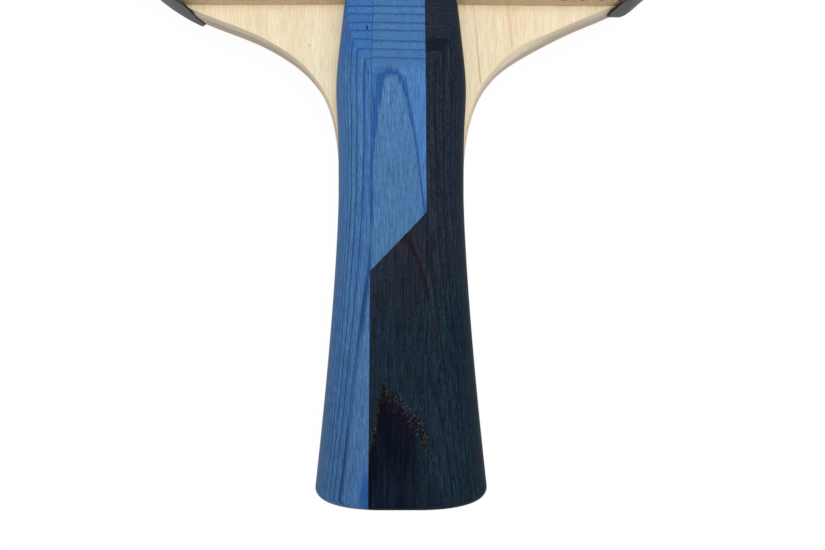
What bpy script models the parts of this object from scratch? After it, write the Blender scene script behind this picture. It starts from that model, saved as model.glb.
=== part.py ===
"""Table tennis paddle: a plywood blade, a flared handle of dyed wood staves, two rubbers and an edge tape.

Metres. The origin is the centre of the handle's butt end, on the blade's middle plane.
+Y runs up the handle to the head, +Z points out of the front face, and +X is to the right in front view.
"""

import math

import bmesh
import bpy
import numpy as np

MM = 0.001

# Glue and fit
GLUE_LINE = 0.05 * MM
EDGE_CLEARANCE = 0.15 * MM
RUBBER_CLEARANCE = 0.3 * MM

# Blade plies, from the middle outwards
CORE_PLY = 2.8 * MM
INNER_PLY = 0.9 * MM
OUTER_PLY = 0.6 * MM

# Handle, measured from its butt end
HANDLE_LENGTH = 100 * MM
BUTT_WIDTH = 35.2 * MM
NECK_WIDTH = 25.3 * MM
TOP_WIDTH = 22.7 * MM
BUTT_DEPTH = 25.0 * MM
NECK_DEPTH = 22.4 * MM
FLARE_LENGTH = 61 * MM
FLARE_POWER = 1.4
TOP_TAPER_LENGTH = 20 * MM
FLAT_NECK_WIDTH = 7.2 * MM
FLAT_BUTT_WIDTH = 12.4 * MM
FLAT_TAPER_LENGTH = 78 * MM
SIDE_LAND = 0.4 * MM
BUTT_ROUND = 1.7 * MM

# Slope at the top end of each handle half
RAMP_LENGTH = 15.0 * MM
RAMP_END_DEPTH = 13.0 * MM

# Staves: the middle one widens to the butt and is spliced on a slant
MIDDLE_TOP_WIDTH = 10.2 * MM
MIDDLE_BUTT_WIDTH = 11.4 * MM
MIDDLE_OFFSET = -0.34 * MM
SPLICE_HEIGHT = 51.37 * MM
SPLICE_ANGLE = math.radians(46)

# Head outline, measured up from the rubber line at the top of the handle
HEAD_LENGTH = 156.5 * MM
HEAD_WIDTH = 149 * MM
WIDEST_RISE = 78 * MM
WIDEST_PULL = 52.6 * MM

# Wings, measured down from the rubber line
WING_ROOT_DROP = 40 * MM
WING_ROOT_PULL = 22.9 * MM
WING_TURN_DROP = 2.2 * MM
WING_TURN_WIDTH = 80 * MM
WING_TURN_ANGLE = math.radians(21.2)
WING_TURN_PULL = 25.4 * MM
SHOULDER_PULL = 20.0 * MM

# Rubbers and edge tape
SPONGE = 2.0 * MM
TOPSHEET = 2.0 * MM
TAPE_WIDTH = 11.8 * MM
TAPE_THICKNESS = 0.4 * MM
TAPE_LEFT_DROP = 1.5 * MM
TAPE_RIGHT_DROP = 0.1 * MM

# Facets along each stretch of an outline and across each stave, and the closest two sections may lie
LEAST_FACET = 0.3 * MM
HANDLE_STEPS = 14
ROUND_STEPS = 4
CURVE_STEPS = 18
ARC_STEPS = 9
MIDDLE_STEPS = 5

# Handle length of a cubic that draws a quarter ellipse
QUARTER_PULL = 0.5523

BLADE_FACE = CORE_PLY / 2 + INNER_PLY + OUTER_PLY + 2 * GLUE_LINE
WIDEST_HEIGHT = HANDLE_LENGTH + WIDEST_RISE
TIP_HEIGHT = HANDLE_LENGTH + HEAD_LENGTH

# Linear colour, roughness
BLUE_WOOD = ("dyed_blue_wood", (0.052, 0.144, 0.334), 0.42)
DARK_WOOD = ("dyed_black_wood", (0.014, 0.022, 0.036), 0.42)
PALE_WOOD = ("pale_veneer", (0.823, 0.695, 0.468), 0.6)
CORE_WOOD = ("core_veneer", (0.78, 0.64, 0.42), 0.65)
FOAM = ("tan_sponge", (0.66, 0.48, 0.28), 0.9)
RED_RUBBER = ("red_rubber", (0.5, 0.02, 0.02), 0.45)
BLACK_RUBBER = ("black_rubber", (0.012, 0.012, 0.013), 0.45)
GREY_TAPE = ("grey_tape", (0.09, 0.09, 0.1), 0.5)


def clear_scene():
    """Removes every object that the file opened with."""
    for found in list(bpy.data.objects):
        bpy.data.objects.remove(found)


def make_material(finish):
    """A plain finish, made once and shared by the pieces cut from the same stock."""
    name, color, roughness = finish
    if name in bpy.data.materials:
        return bpy.data.materials[name]
    material = bpy.data.materials.new(name)
    material.use_nodes = True
    shader = material.node_tree.nodes["Principled BSDF"]
    shader.inputs["Base Color"].default_value = (*color, 1)
    shader.inputs["Roughness"].default_value = roughness
    shader.inputs["Metallic"].default_value = 0
    return material


def place(name, data, finish, collection):
    """Puts a piece's shape into the paddle's collection under its own name."""
    if not data.materials:
        data.materials.append(make_material(finish))
    piece = bpy.data.objects.new(name, data)
    collection.objects.link(piece)
    return piece


def flare(y):
    """1 at the butt, falling to 0 where the flare ends."""
    return np.clip(1 - y / FLARE_LENGTH, 0, 1) ** FLARE_POWER


def rim_inset(y):
    """How far the rounded butt rim draws every side in at this height."""
    into = np.clip(BUTT_ROUND - y, 0, BUTT_ROUND)
    return BUTT_ROUND - np.sqrt(BUTT_ROUND**2 - into**2)


def handle_half_width(y):
    """Half the width: neck plus flare, less the draw-in at the top end and at the rim."""
    draw_in = np.clip(1 - (HANDLE_LENGTH - y) / TOP_TAPER_LENGTH, 0, 1) ** 2
    wide = NECK_WIDTH + (BUTT_WIDTH - NECK_WIDTH) * flare(y) - (NECK_WIDTH - TOP_WIDTH) * draw_in
    return wide / 2 - rim_inset(y)


def handle_crest(y):
    """Height of the flat top of a handle half above the middle plane, before the slope is cut."""
    return (NECK_DEPTH + (BUTT_DEPTH - NECK_DEPTH) * flare(y)) / 2 - rim_inset(y)


def ramp_height(y):
    """Height of the plane slope that thins the handle down to the rubber."""
    rise = (NECK_DEPTH - RAMP_END_DEPTH) / 2
    return RAMP_END_DEPTH / 2 + rise * (HANDLE_LENGTH - y) / RAMP_LENGTH


def flat_half(y):
    """Half the width of the flat crest, which tapers evenly from the butt to the neck."""
    rise = np.minimum(y / FLAT_TAPER_LENGTH, 1)
    return (FLAT_BUTT_WIDTH + (FLAT_NECK_WIDTH - FLAT_BUTT_WIDTH) * rise) / 2


def handle_top(x, y):
    """Height of the handle's surface: a flat crest, an elliptical shoulder each side, cut by the slope."""
    half = handle_half_width(y)
    flat = flat_half(y)
    across = np.clip((np.abs(x) - flat) / (half - flat), 0, 1)
    side = BLADE_FACE + SIDE_LAND
    shoulder = side + (handle_crest(y) - side) * np.sqrt(1 - across**2)
    return np.minimum(shoulder, ramp_height(y))


def seam(side, y):
    """Sideways place of the seam between the middle stave and the stave on that side, -1 or 1."""
    wide = MIDDLE_BUTT_WIDTH + (MIDDLE_TOP_WIDTH - MIDDLE_BUTT_WIDTH) * y / HANDLE_LENGTH
    return MIDDLE_OFFSET + side * wide / 2


def splice(x):
    """Height of the slanted splice at a sideways place."""
    return SPLICE_HEIGHT + (x - MIDDLE_OFFSET) * math.tan(SPLICE_ANGLE)


def handle_stations():
    """Heights of the handle's sections: close over the rounded rim, then even, with one at the slope's foot."""
    turns = np.linspace(0, math.pi / 2, ROUND_STEPS + 1)
    rim = BUTT_ROUND * (1 - np.cos(turns))
    end = HANDLE_LENGTH - RUBBER_CLEARANCE
    foot = HANDLE_LENGTH - RAMP_LENGTH
    body = np.linspace(BUTT_ROUND, foot, HANDLE_STEPS)
    slope = np.linspace(foot, end, ROUND_STEPS + 2)
    return np.concatenate([rim, body[1:], slope[1:]])


def slab(name, x, y, top, bottom):
    """A closed solid over a grid of points: its upper skin, a flat floor and walls round the edge."""
    rows, columns = x.shape
    mesh = bmesh.new()
    upper = [[mesh.verts.new(p) for p in zip(x[i], y[i], top[i])] for i in range(rows)]
    for i in range(rows - 1):
        for j in range(columns - 1):
            mesh.faces.new((upper[i][j], upper[i][j + 1], upper[i + 1][j + 1], upper[i + 1][j]))
    rim = [(0, j) for j in range(columns)]
    rim += [(i, columns - 1) for i in range(1, rows)]
    rim += [(rows - 1, j) for j in range(columns - 2, -1, -1)]
    rim += [(i, 0) for i in range(rows - 2, 0, -1)]
    lower = [mesh.verts.new((x[i, j], y[i, j], bottom)) for i, j in rim]
    for k, (i, j) in enumerate(rim):
        after = (k + 1) % len(rim)
        next_i, next_j = rim[after]
        mesh.faces.new((upper[i][j], lower[k], lower[after], upper[next_i][next_j]))
    mesh.faces.new(lower[::-1])
    bmesh.ops.recalc_face_normals(mesh, faces=mesh.faces)
    data = bpy.data.meshes.new(name)
    mesh.to_mesh(data)
    mesh.free()
    data.shade_smooth()
    data.set_sharp_from_angle(angle=math.radians(30))
    return data


def side_stave(name, side):
    """The full-length stave on one side, from its seam out over the shoulder to the handle's side."""
    y = handle_stations()[:, None]
    flat = flat_half(y)
    half = handle_half_width(y)
    inner = np.abs(seam(side, y)) + GLUE_LINE / 2
    first = np.arcsin(np.clip((inner - flat) / (half - flat), 0, 1))
    turn = first + (math.pi / 2 - first) * np.linspace(0, 1, ARC_STEPS + 1)
    x = flat + (half - flat) * np.sin(turn)
    x[:, :1] = inner
    y = np.broadcast_to(y, x.shape)
    return slab(name, side * x, y, handle_top(x, y), BLADE_FACE + GLUE_LINE)


def middle_stave(name, upper):
    """One length of the middle stave, ending at the slanted splice."""
    across = np.linspace(0, 1, MIDDLE_STEPS + 1)
    gap = GLUE_LINE / 2
    cut = gap / math.cos(SPLICE_ANGLE)
    stations = handle_stations()
    ends = [seam(side, splice(seam(side, SPLICE_HEIGHT))) for side in (-1, 1)]
    joint = splice(np.linspace(*ends, MIDDLE_STEPS + 1))
    if upper:
        rows = stations[stations > joint.max() + LEAST_FACET]
        y = np.vstack([joint + cut, np.repeat(rows[:, None], MIDDLE_STEPS + 1, axis=1)])
    else:
        rows = stations[stations < joint.min() - LEAST_FACET]
        y = np.vstack([np.repeat(rows[:, None], MIDDLE_STEPS + 1, axis=1), joint - cut])
    left = seam(-1, y) + gap
    right = seam(1, y) - gap
    x = left + (right - left) * across
    return slab(name, x, y, handle_top(x, y), BLADE_FACE + GLUE_LINE)


def add_handle_half(front, collection):
    """The four staves of one handle half. The back half is the front one turned about the handle's axis."""
    face = "front" if front else "back"
    staves = (
        ("blue_stave", BLUE_WOOD, side_stave, -1),
        ("middle_stave_upper", BLUE_WOOD, middle_stave, True),
        ("middle_stave_lower", DARK_WOOD, middle_stave, False),
        ("dark_stave", DARK_WOOD, side_stave, 1),
    )
    for stave, finish, shape, which in staves:
        name = f"{face}_{stave}"
        piece = place(name, shape(name, which), finish, collection)
        if not front:
            piece.rotation_euler = (0, math.pi, 0)


def cubic(points, steps):
    """Points along a cubic curve, from its four control points."""
    t = np.linspace(0, 1, steps + 1)[:, None]
    a, b, c, d = (np.array(point) for point in points)
    return (1 - t) ** 3 * a + 3 * (1 - t) ** 2 * t * b + 3 * (1 - t) * t**2 * c + t**3 * d


def wing_turn():
    """Where the hollow of a wing turns into the round of the head, and the outline's direction there."""
    point = np.array((WING_TURN_WIDTH / 2, HANDLE_LENGTH - WING_TURN_DROP))
    heading = np.array((math.cos(WING_TURN_ANGLE), math.sin(WING_TURN_ANGLE)))
    return point, heading


def wing_half():
    """Right half of a wing, from the handle's side out to the turn."""
    point, heading = wing_turn()
    root_height = HANDLE_LENGTH - WING_ROOT_DROP
    root = np.array((handle_half_width(root_height), root_height))
    up = np.array((0, WING_ROOT_PULL))
    return cubic((root, root + up, point - heading * WING_TURN_PULL, point), CURVE_STEPS)


def head_half():
    """Right half of the head, from the wing's turn past the widest place to the tip."""
    point, heading = wing_turn()
    widest = np.array((HEAD_WIDTH / 2, WIDEST_HEIGHT))
    tip = np.array((0, TIP_HEIGHT))
    down = np.array((0, WIDEST_PULL))
    up = np.array((0, QUARTER_PULL * (TIP_HEIGHT - WIDEST_HEIGHT)))
    out = np.array((QUARTER_PULL * HEAD_WIDTH / 2, 0))
    lower = cubic((point, point + heading * SHOULDER_PULL, widest - down, widest), CURVE_STEPS)
    top = cubic((widest, widest + up, tip + out, tip), CURVE_STEPS)
    return np.vstack([lower, top[1:]])


def tang_half():
    """Right side of the blade inside the handle, flush with it, from the butt up to the wing."""
    turns = np.linspace(0, math.pi / 2, ROUND_STEPS + 1)
    rim = BUTT_ROUND * (1 - np.cos(turns))
    body = np.linspace(BUTT_ROUND, HANDLE_LENGTH - WING_ROOT_DROP, HANDLE_STEPS)
    y = np.concatenate([rim, body[1:]])
    return np.column_stack([handle_half_width(y), y])


def mirrored(half):
    """A closed outline from its right half, which runs up to a last point on the middle line."""
    left = half[-2::-1] * np.array((-1, 1))
    return np.vstack([half, left])


def above(half, height):
    """The stretch of a half outline above a level, starting exactly on that level."""
    start = np.interp(height, half[:, 1], half[:, 0])
    return np.vstack([(start, height), half[half[:, 1] > height + LEAST_FACET]])


def moved_out(path, distance):
    """A path moved sideways to its right by a distance, square to its own direction."""
    along = np.gradient(path, axis=0)
    along /= np.linalg.norm(along, axis=1)[:, None]
    return path + distance * np.column_stack([along[:, 1], -along[:, 0]])


def plate(name, outline, low, high, finish, collection):
    """A flat sheet of the given outline between two levels."""
    curve = bpy.data.curves.new(name, "CURVE")
    curve.dimensions = "2D"
    curve.fill_mode = "BOTH"
    curve.extrude = (high - low) / 2
    spline = curve.splines.new("POLY")
    spline.points.add(len(outline) - 1)
    flat = np.column_stack([outline, np.zeros(len(outline)), np.ones(len(outline))])
    spline.points.foreach_set("co", flat.ravel())
    spline.use_cyclic_u = True
    piece = place(name, curve, finish, collection)
    piece.location.z = (low + high) / 2
    return piece


def add_blade(collection):
    """Five plies glued face to face, each running from the butt to the tip."""
    outline = mirrored(np.vstack([tang_half(), wing_half()[1:], head_half()[1:]]))
    plate("core_ply", outline, -CORE_PLY / 2, CORE_PLY / 2, CORE_WOOD, collection)
    inner = CORE_PLY / 2 + GLUE_LINE
    outer = inner + INNER_PLY + GLUE_LINE
    plate("front_inner_ply", outline, inner, inner + INNER_PLY, CORE_WOOD, collection)
    plate("back_inner_ply", outline, -inner - INNER_PLY, -inner, CORE_WOOD, collection)
    plate("front_outer_ply", outline, outer, outer + OUTER_PLY, PALE_WOOD, collection)
    plate("back_outer_ply", outline, -outer - OUTER_PLY, -outer, PALE_WOOD, collection)


def add_rubbers(collection):
    """A sponge and a topsheet on each face, cut to the head and straight across at the rubber line."""
    outline = mirrored(above(head_half(), HANDLE_LENGTH))
    low = BLADE_FACE + GLUE_LINE
    skin = low + SPONGE + GLUE_LINE
    plate("front_sponge", outline, low, low + SPONGE, FOAM, collection)
    plate("front_topsheet", outline, skin, skin + TOPSHEET, RED_RUBBER, collection)
    plate("back_sponge", outline, -low - SPONGE, -low, FOAM, collection)
    plate("back_topsheet", outline, -skin - TOPSHEET, -skin, BLACK_RUBBER, collection)


def add_edge_tape(collection):
    """One strip of tape round the head's edge, from wing to wing, covering the blade and the sponges."""
    right = above(head_half(), HANDLE_LENGTH - TAPE_RIGHT_DROP)
    left = above(head_half(), HANDLE_LENGTH - TAPE_LEFT_DROP) * np.array((-1, 1))
    path = np.vstack([right, left[-2::-1]])
    inside = moved_out(path, EDGE_CLEARANCE)
    outside = moved_out(path, EDGE_CLEARANCE + TAPE_THICKNESS)
    outline = np.vstack([outside, inside[::-1]])
    plate("edge_tape", outline, -TAPE_WIDTH / 2, TAPE_WIDTH / 2, GREY_TAPE, collection)


def main():
    clear_scene()
    collection = bpy.data.collections.new("table_tennis_paddle")
    bpy.context.scene.collection.children.link(collection)
    add_blade(collection)
    add_handle_half(True, collection)
    add_handle_half(False, collection)
    add_rubbers(collection)
    add_edge_tape(collection)


main()
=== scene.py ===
import math

import bpy
import numpy as np
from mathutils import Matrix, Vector


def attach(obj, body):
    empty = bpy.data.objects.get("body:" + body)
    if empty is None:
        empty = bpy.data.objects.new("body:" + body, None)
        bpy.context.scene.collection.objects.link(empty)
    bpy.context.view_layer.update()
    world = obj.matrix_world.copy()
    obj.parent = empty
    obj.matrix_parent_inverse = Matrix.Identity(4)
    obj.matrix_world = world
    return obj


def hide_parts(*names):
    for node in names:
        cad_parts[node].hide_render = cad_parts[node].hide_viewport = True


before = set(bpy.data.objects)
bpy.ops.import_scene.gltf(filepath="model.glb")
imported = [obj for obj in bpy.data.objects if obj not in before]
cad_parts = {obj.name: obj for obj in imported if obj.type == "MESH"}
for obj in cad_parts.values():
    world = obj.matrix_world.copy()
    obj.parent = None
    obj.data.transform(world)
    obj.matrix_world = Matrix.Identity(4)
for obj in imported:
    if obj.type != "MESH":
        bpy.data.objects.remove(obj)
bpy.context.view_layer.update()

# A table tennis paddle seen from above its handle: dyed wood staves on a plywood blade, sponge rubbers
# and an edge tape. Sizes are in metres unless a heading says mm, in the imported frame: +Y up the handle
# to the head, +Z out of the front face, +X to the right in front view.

MM = 0.001
SHARP_ANGLE = math.radians(32)

# Glue and fit, as in the solids
GLUE_LINE = 0.05 * MM
HIDDEN_GAP = 0.01 * MM
EDGE_CLEARANCE = 0.15 * MM
RUBBER_CLEARANCE = 0.3 * MM

# Blade plies, from the middle outwards
CORE_PLY = 2.8 * MM
INNER_PLY = 0.9 * MM
OUTER_PLY = 0.6 * MM
BLADE_FACE = CORE_PLY / 2 + INNER_PLY + OUTER_PLY + 2 * GLUE_LINE

# Handle, measured from its butt end
HANDLE_LENGTH = 100 * MM
BUTT_WIDTH = 35.2 * MM
NECK_WIDTH = 25.3 * MM
TOP_WIDTH = 22.7 * MM
BUTT_DEPTH = 25.0 * MM
NECK_DEPTH = 22.4 * MM
FLARE_LENGTH = 61 * MM
FLARE_POWER = 1.4
TOP_TAPER_LENGTH = 20 * MM
FLAT_NECK_WIDTH = 7.2 * MM
FLAT_BUTT_WIDTH = 12.4 * MM
FLAT_TAPER_LENGTH = 78 * MM
FLAT_RIM_DRAW = 4.0 * MM
SIDE_LAND = 0.4 * MM
RIM_LENGTH = 2.6 * MM
RIM_DRAW = 3.6 * MM
CREST_RIM_LENGTH = 2.0 * MM
CREST_RIM_DRAW = 2.2 * MM
NECK_SWELL = 0.95 * MM
NECK_SWELL_HEIGHT = 83 * MM
NECK_SWELL_REACH = 8 * MM
RAMP_LENGTH = 15.0 * MM
RAMP_END_DEPTH = 13.0 * MM
CREASE_ROUND = 0.14 * MM
CREASE_REACH = 8 * CREASE_ROUND
CREASE_BELOW = 1.2 * MM
CREASE_ABOVE = 1.6 * MM

# Staves
MIDDLE_TOP_WIDTH = 10.2 * MM
MIDDLE_BUTT_WIDTH = 11.4 * MM
MIDDLE_OFFSET = -0.34 * MM
SPLICE_HEIGHT = 51.37 * MM
SPLICE_ANGLE = math.radians(46)
SPLICE_FAN = 4 * MM
SEAM_ROUND = 0.04 * MM
SEAM_STEPS = np.array((0, 0.12, 0.4, 1.0)) * SEAM_ROUND

# Head outline and wings
HEAD_LENGTH = 156.5 * MM
HEAD_WIDTH = 149 * MM
WIDEST_RISE = 78 * MM
WIDEST_PULL = 52.6 * MM
WING_ROOT_DROP = 40 * MM
WING_ROOT_PULL = 22.9 * MM
WING_TURN_DROP = 2.2 * MM
WING_TURN_WIDTH = 80 * MM
WING_TURN_ANGLE = math.radians(21.2)
WING_TURN_PULL = 25.4 * MM
SHOULDER_PULL = 20.0 * MM
QUARTER_PULL = 0.5523
WIDEST_HEIGHT = HANDLE_LENGTH + WIDEST_RISE
TIP_HEIGHT = HANDLE_LENGTH + HEAD_LENGTH
TIP_HALF = 0.3 * MM

# Sanded edge of the wings; a swell is its size, height and reach, and the first one is on the left
BEVEL_DEPTH = 1.25 * MM
BEVEL_POWER = 1.6
BEVEL_LEFT = 0.65 * MM
BEVEL_RIGHT = 0.8 * MM
BEVEL_HEAD = 0.1 * MM
BEVEL_LINE = 0.22 * MM
BEVEL_RUN_IN = (62 * MM, 72 * MM)
BEVEL_RUN_OUT = (98.2 * MM, 100 * MM)
BEVEL_EVEN = 0.9
BEVEL_WIDER = 1.0
BEVEL_WIDER_HEIGHT = 90.5 * MM
BEVEL_WIDER_REACH = 3 * MM
WING_SWELLS = (
    (0.36 * MM, 97.4 * MM, 2.8 * MM),
    (0.35 * MM, 92 * MM, 4 * MM),
    (0.16 * MM, 79 * MM, 5 * MM),
)

# Rubbers; the cut's wave is in radians per mm, and the turns are angles on the skin's rounded edge
SPONGE = 2.0 * MM
TOPSHEET = 2.0 * MM
SKIN = 1.0 * MM
SKIN_ROUND = 0.18 * MM
SKIN_TURNS = (0.4, 0.8, 1.2)
FRONT_CUT = 99.96 * MM
BACK_CUT = 101.35 * MM
CUT_LEAN = 0.1
CUT_DIP = 0.26 * MM
CUT_DIP_START = 5 * MM
CUT_DIP_END = 42 * MM
CUT_REACH = 6 * MM
CUT_WAVE = 0.03 * MM
CUT_WAVE_ACROSS = 0.9
CUT_WAVE_DEEP = 2.1
CUT_WAVE_START = 1
PIP_RADIUS = 0.76 * MM
PIP_FOOT = 0.86 * MM
PIP_SPACING = 3.64 * MM
PIP_ROW = 1.05 * MM
PIP_ROWS = 10
PIP_START = 32.9 * MM
PIP_SETBACK = 0.66 * MM
PIP_STEP = 0.5 * MM
PIP_SIDES = 12
PIP_COLUMNS = (-26, 5)
PIP_BORDER = 1.2 * MM

# Edge tape; a snip is a height and how far the end is cut back there, in mm
TAPE_FRONT = 6.4 * MM
TAPE_MIDDLE = -1 * MM
TAPE_BACK = -4.8 * MM
TAPE_THICKNESS = 0.4 * MM
TAPE_DROP = 1.9 * MM
TAPE_LEFT_SNIPS = ((-4.8, 6.3), (-4.2, 1.9), (-1.5, 0.3), (0.5, 1.5), (3.5, 1.9), (6.4, 2.6))
TAPE_RIGHT_SNIPS = ((-4.8, 8.5), (-3.8, 6.1), (0.9, 1.8), (3.0, 2.0), (6.4, 3.6))
TAPE_LIFT = 0.3 * MM
TAPE_LIFT_PLACE = 8 * MM
TAPE_LIFT_REACH = 2.5 * MM
TAPE_EDGE_DROP = 0.08 * MM
TAPE_EDGE_REACH = 0.5 * MM
TAPE_END_SHADOW = 0.2 * MM
TAPE_END_SHARE = 0.02

# Glue lines of a handle half: heights in mm above the middle plane, and their lean
VENEER = 0.65
LOWEST_LINE = 3.3
SIDE_LINES = (7.2, 7.75, 8.35, 8.9, 9.5, 10.15, 10.75, 11.3, 13.2)
MIDDLE_LINES = (7.15, 7.7, 8.35, 8.85, 9.6, 10.15, 10.7, 11.3, 11.85, 12.4)
DARK_LINES = (7.2, 7.55, 7.9, 8.5, 9.25, 10.25, 10.8, 11.3, 11.8, 12.4)
LINE_LEAN = 0.008

# Veneer counts of the thick dark veneer and of the crest, and the heights between which the crest begins
THICK_VENEER = 10
VENEER_EDGE = 0.02
CREST_COUNT = 12.4
CREST_RISE = (10.95 * MM, 11.15 * MM)

# Depth of the blue, 0 to 1, how steep its skin is, and the heights between which they grow
RICH_LEAST = 0.3
RICH_MIDDLE = 0.35
RICH_CREST = 0.8
RICH_CREST_RISE = (10.6 * MM, 10.8 * MM)
RICH_CREST_RUN = (42 * MM, 66 * MM)
RICH_SLOPE_RUN = (85 * MM, 88 * MM)
STEEP_GAIN = 3
STEEP_LEAST = 0.08
SLOPE_RUN = (84 * MM, 86 * MM)

# Arch of growth rings on the blue crest, in mm; a back stave's is shifted and lower
ARCH_APEX = 83.7
ARCH_MIDDLE = -1.75
ARCH_LEAN = 0.045
ARCH_SPREAD = 1.45
ARCH_POWER = 0.38
ARCH_BAND = 0.6
ARCH_UNEVEN = 0.3
ARCH_APEX_BAND = 1.3
ARCH_CAP = 1.7
ARCH_BAND_REACH = 4
ARCH_LOWEST = 8.5
ARCH_BACK_SHIFT = 1.5
ARCH_BACK_DROP = 11
FAR = 20.0

# Ragged upper edge of the resin patch and path of the dark growth line, in mm; lower on a back stave
CHAR_ACROSS = (-6.0, -4.5, -4.3, -3.0, -2.3, -0.8, 1.6, 3.4, 5.2)
CHAR_HEIGHT = (11.0, 17.0, 20.0, 24.0, 22.0, 21.3, 19.2, 17.3, 13.8)
CHAR_BAND = 1.83
CHAR_BAND_REACH = 0.55
CHAR_BAND_TOP = 17.3
CHAR_BAND_RUN = 3
CHAR_FADE = (-0.5, 5.2)
CHAR_BACK_DROP = 13
STREAK_HEIGHT = (27, 35, 39.6, 42.6, 48.3, 50.5, 52.2)
STREAK_ACROSS = (7.75, 6.45, 5.4, 4.7, 3.2, 1.9, 0.9)
STREAK_WIDTH = (0.25, 0.3, 0.15, 0.75, 0.6, 1.1, 1.8)
STREAK_BACK_DROP = 17
STREAK_END = 0.4

# Growth lines on the right wing: place at the handle's top, lean, height where it stops, half width
GROWTH_LINES = (
    (14.8 * MM, 0.09, 83.4 * MM, 0.28 * MM),
    (21.7 * MM, 0.1154, 90.6 * MM, 0.24 * MM),
    (18.5 * MM, 0.095, 86.0 * MM, 0.7 * MM),
)

# Spots in the finishes: place and reach
KNOT = ((-6.55 * MM, 93.1 * MM, 8 * MM), (0.2 * MM, 0.75 * MM, 4 * MM))
STAIN = ((-5.6 * MM, 3 * MM, 12 * MM), (2.4 * MM, 7 * MM, 3 * MM))
FLECK = ((-18.7 * MM, 91.75 * MM, BLADE_FACE), (0.2 * MM, 0.4 * MM, MM))

# Places between which the finishes change: below the slope, along the handle, or across it for the arch
SLOPE_EDGE = (0.3 * MM, 0.1 * MM)
# The next run is where the blue's painted shade falls off toward the butt
BLUE_SHADE_RUN = (8 * MM, 78 * MM)
ARCH_END_RUN = (85 * MM, 84 * MM)
ARCH_SIDES = (-3 * MM, MM)
ARCH_TIP_RUN = (74 * MM, 82 * MM)
DARK_RUN = (30 * MM, 52 * MM)
SMEAR_RUN = (40 * MM, 50 * MM)
ORANGE_RUN = (99 * MM, 86 * MM)

# Relief of the finishes, and how a noise's shift is shared among the axes
WOOD_RELIEF = 0.04 * MM
SKIN_RELIEF = 0.05 * MM
FOAM_RELIEF = 0.1 * MM
SHEEN_ROUGHNESS = 0.3
NOISE_SHIFT = (1, 1.7, 0.6)

# Rows, columns and levels of the surfaces
RIM_ROWS = 18
BODY_ROWS = 130
CREASE_ROWS = 20
SLOPE_ROWS = 48
FAN_ROWS = 60
SIDE_COLUMNS = 84
MIDDLE_COLUMNS = 64
STAVE_LEVELS = 11
TANG_RIM_ROWS = 14
TANG_ROWS = 50
WING_STEPS = 80
SHOULDER_STEPS = 70
TIP_STEPS = 80
PLY_COLUMNS = 30
INNER_LEVELS = 6
OUTER_LEVELS = np.array((1, 0.8, 0.6, 0.45, 0.3, 0.2, 0.1, 0.04, 0))
FOAM_COLUMNS = 90
FOAM_LEVELS = 6
SKIN_COLUMNS = 60
TAPE_ROWS = 360
TAPE_END_ROWS = 24
TAPE_BACK_LEVELS = 16
TAPE_FRONT_LEVELS = 12

# Floor, light and camera; the floor's touches are Y and Z, a lamp is its name, place, size and power
FLOOR_TOUCH = ((0.0848, -0.0113), (0.257, -0.0072))
FLOOR_REACH = 3.0
FLOOR_GLOW = 0.96
FLOOR_VEIL = 0.05
FLOOR_SHEET = 0.55
SKY = 0.42
LAMP_AIM = (0, 0.05, 0)
LAMPS = (
    ("top_lamp", (0.12, 0.1, 1.0), 0.9, 7.0),
    ("left_lamp", (-0.9, 0.1, 0.6), 0.7, 1.6),
    ("right_lamp", (0.9, 0.1, 0.6), 0.7, 2.0),
)
CAMERA_PLACE = (0.0023, 0.045, 0.131)
CAMERA_LENS = 27.45
CAMERA_SENSOR = 36
CAMERA_NEAR = 5 * MM
WHITE = (1, 1, 1, 1)


def smooth_step(value, low, high):
    """0 below low, 1 above high, and an S curve between them."""
    share = np.clip((value - low) / (high - low), 0, 1)
    return share * share * (3 - 2 * share)


def bell(value, middle, reach):
    """1 at the middle, falling to each side as the exponential of minus a squared distance."""
    return np.exp(-(((value - middle) / reach) ** 2))


def flare(y):
    """1 at the butt, falling as a power of the distance to 0 where the flare ends."""
    return np.clip(1 - y / FLARE_LENGTH, 0, 1) ** FLARE_POWER


def rim_inset(y, length, draw):
    """Quarter ellipse at the butt: how far the rounded rim draws a side in at this height."""
    into = np.clip(1 - y / length, 0, 1)
    return draw * (1 - np.sqrt(1 - into**2))


def handle_half_width(y):
    """Half the width: neck, flare and a bell of a swell, less a squared taper at the top and the rim."""
    draw_in = np.clip(1 - (HANDLE_LENGTH - y) / TOP_TAPER_LENGTH, 0, 1) ** 2
    wide = NECK_WIDTH + (BUTT_WIDTH - NECK_WIDTH) * flare(y) - (NECK_WIDTH - TOP_WIDTH) * draw_in
    swell = NECK_SWELL * bell(y, NECK_SWELL_HEIGHT, NECK_SWELL_REACH)
    return (wide + swell) / 2 - rim_inset(y, RIM_LENGTH, RIM_DRAW)


def handle_crest(y):
    """Height of the flat crest: half the depth with its flare, less the rim's inset."""
    deep = NECK_DEPTH + (BUTT_DEPTH - NECK_DEPTH) * flare(y)
    return deep / 2 - rim_inset(y, CREST_RIM_LENGTH, CREST_RIM_DRAW)


def flat_half(y):
    """Half the width of the flat crest, which tapers evenly up to the neck, less the rim's inset."""
    rise = np.minimum(y / FLAT_TAPER_LENGTH, 1)
    wide = FLAT_BUTT_WIDTH + (FLAT_NECK_WIDTH - FLAT_BUTT_WIDTH) * rise
    return wide / 2 - rim_inset(y, RIM_LENGTH, FLAT_RIM_DRAW)


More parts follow.
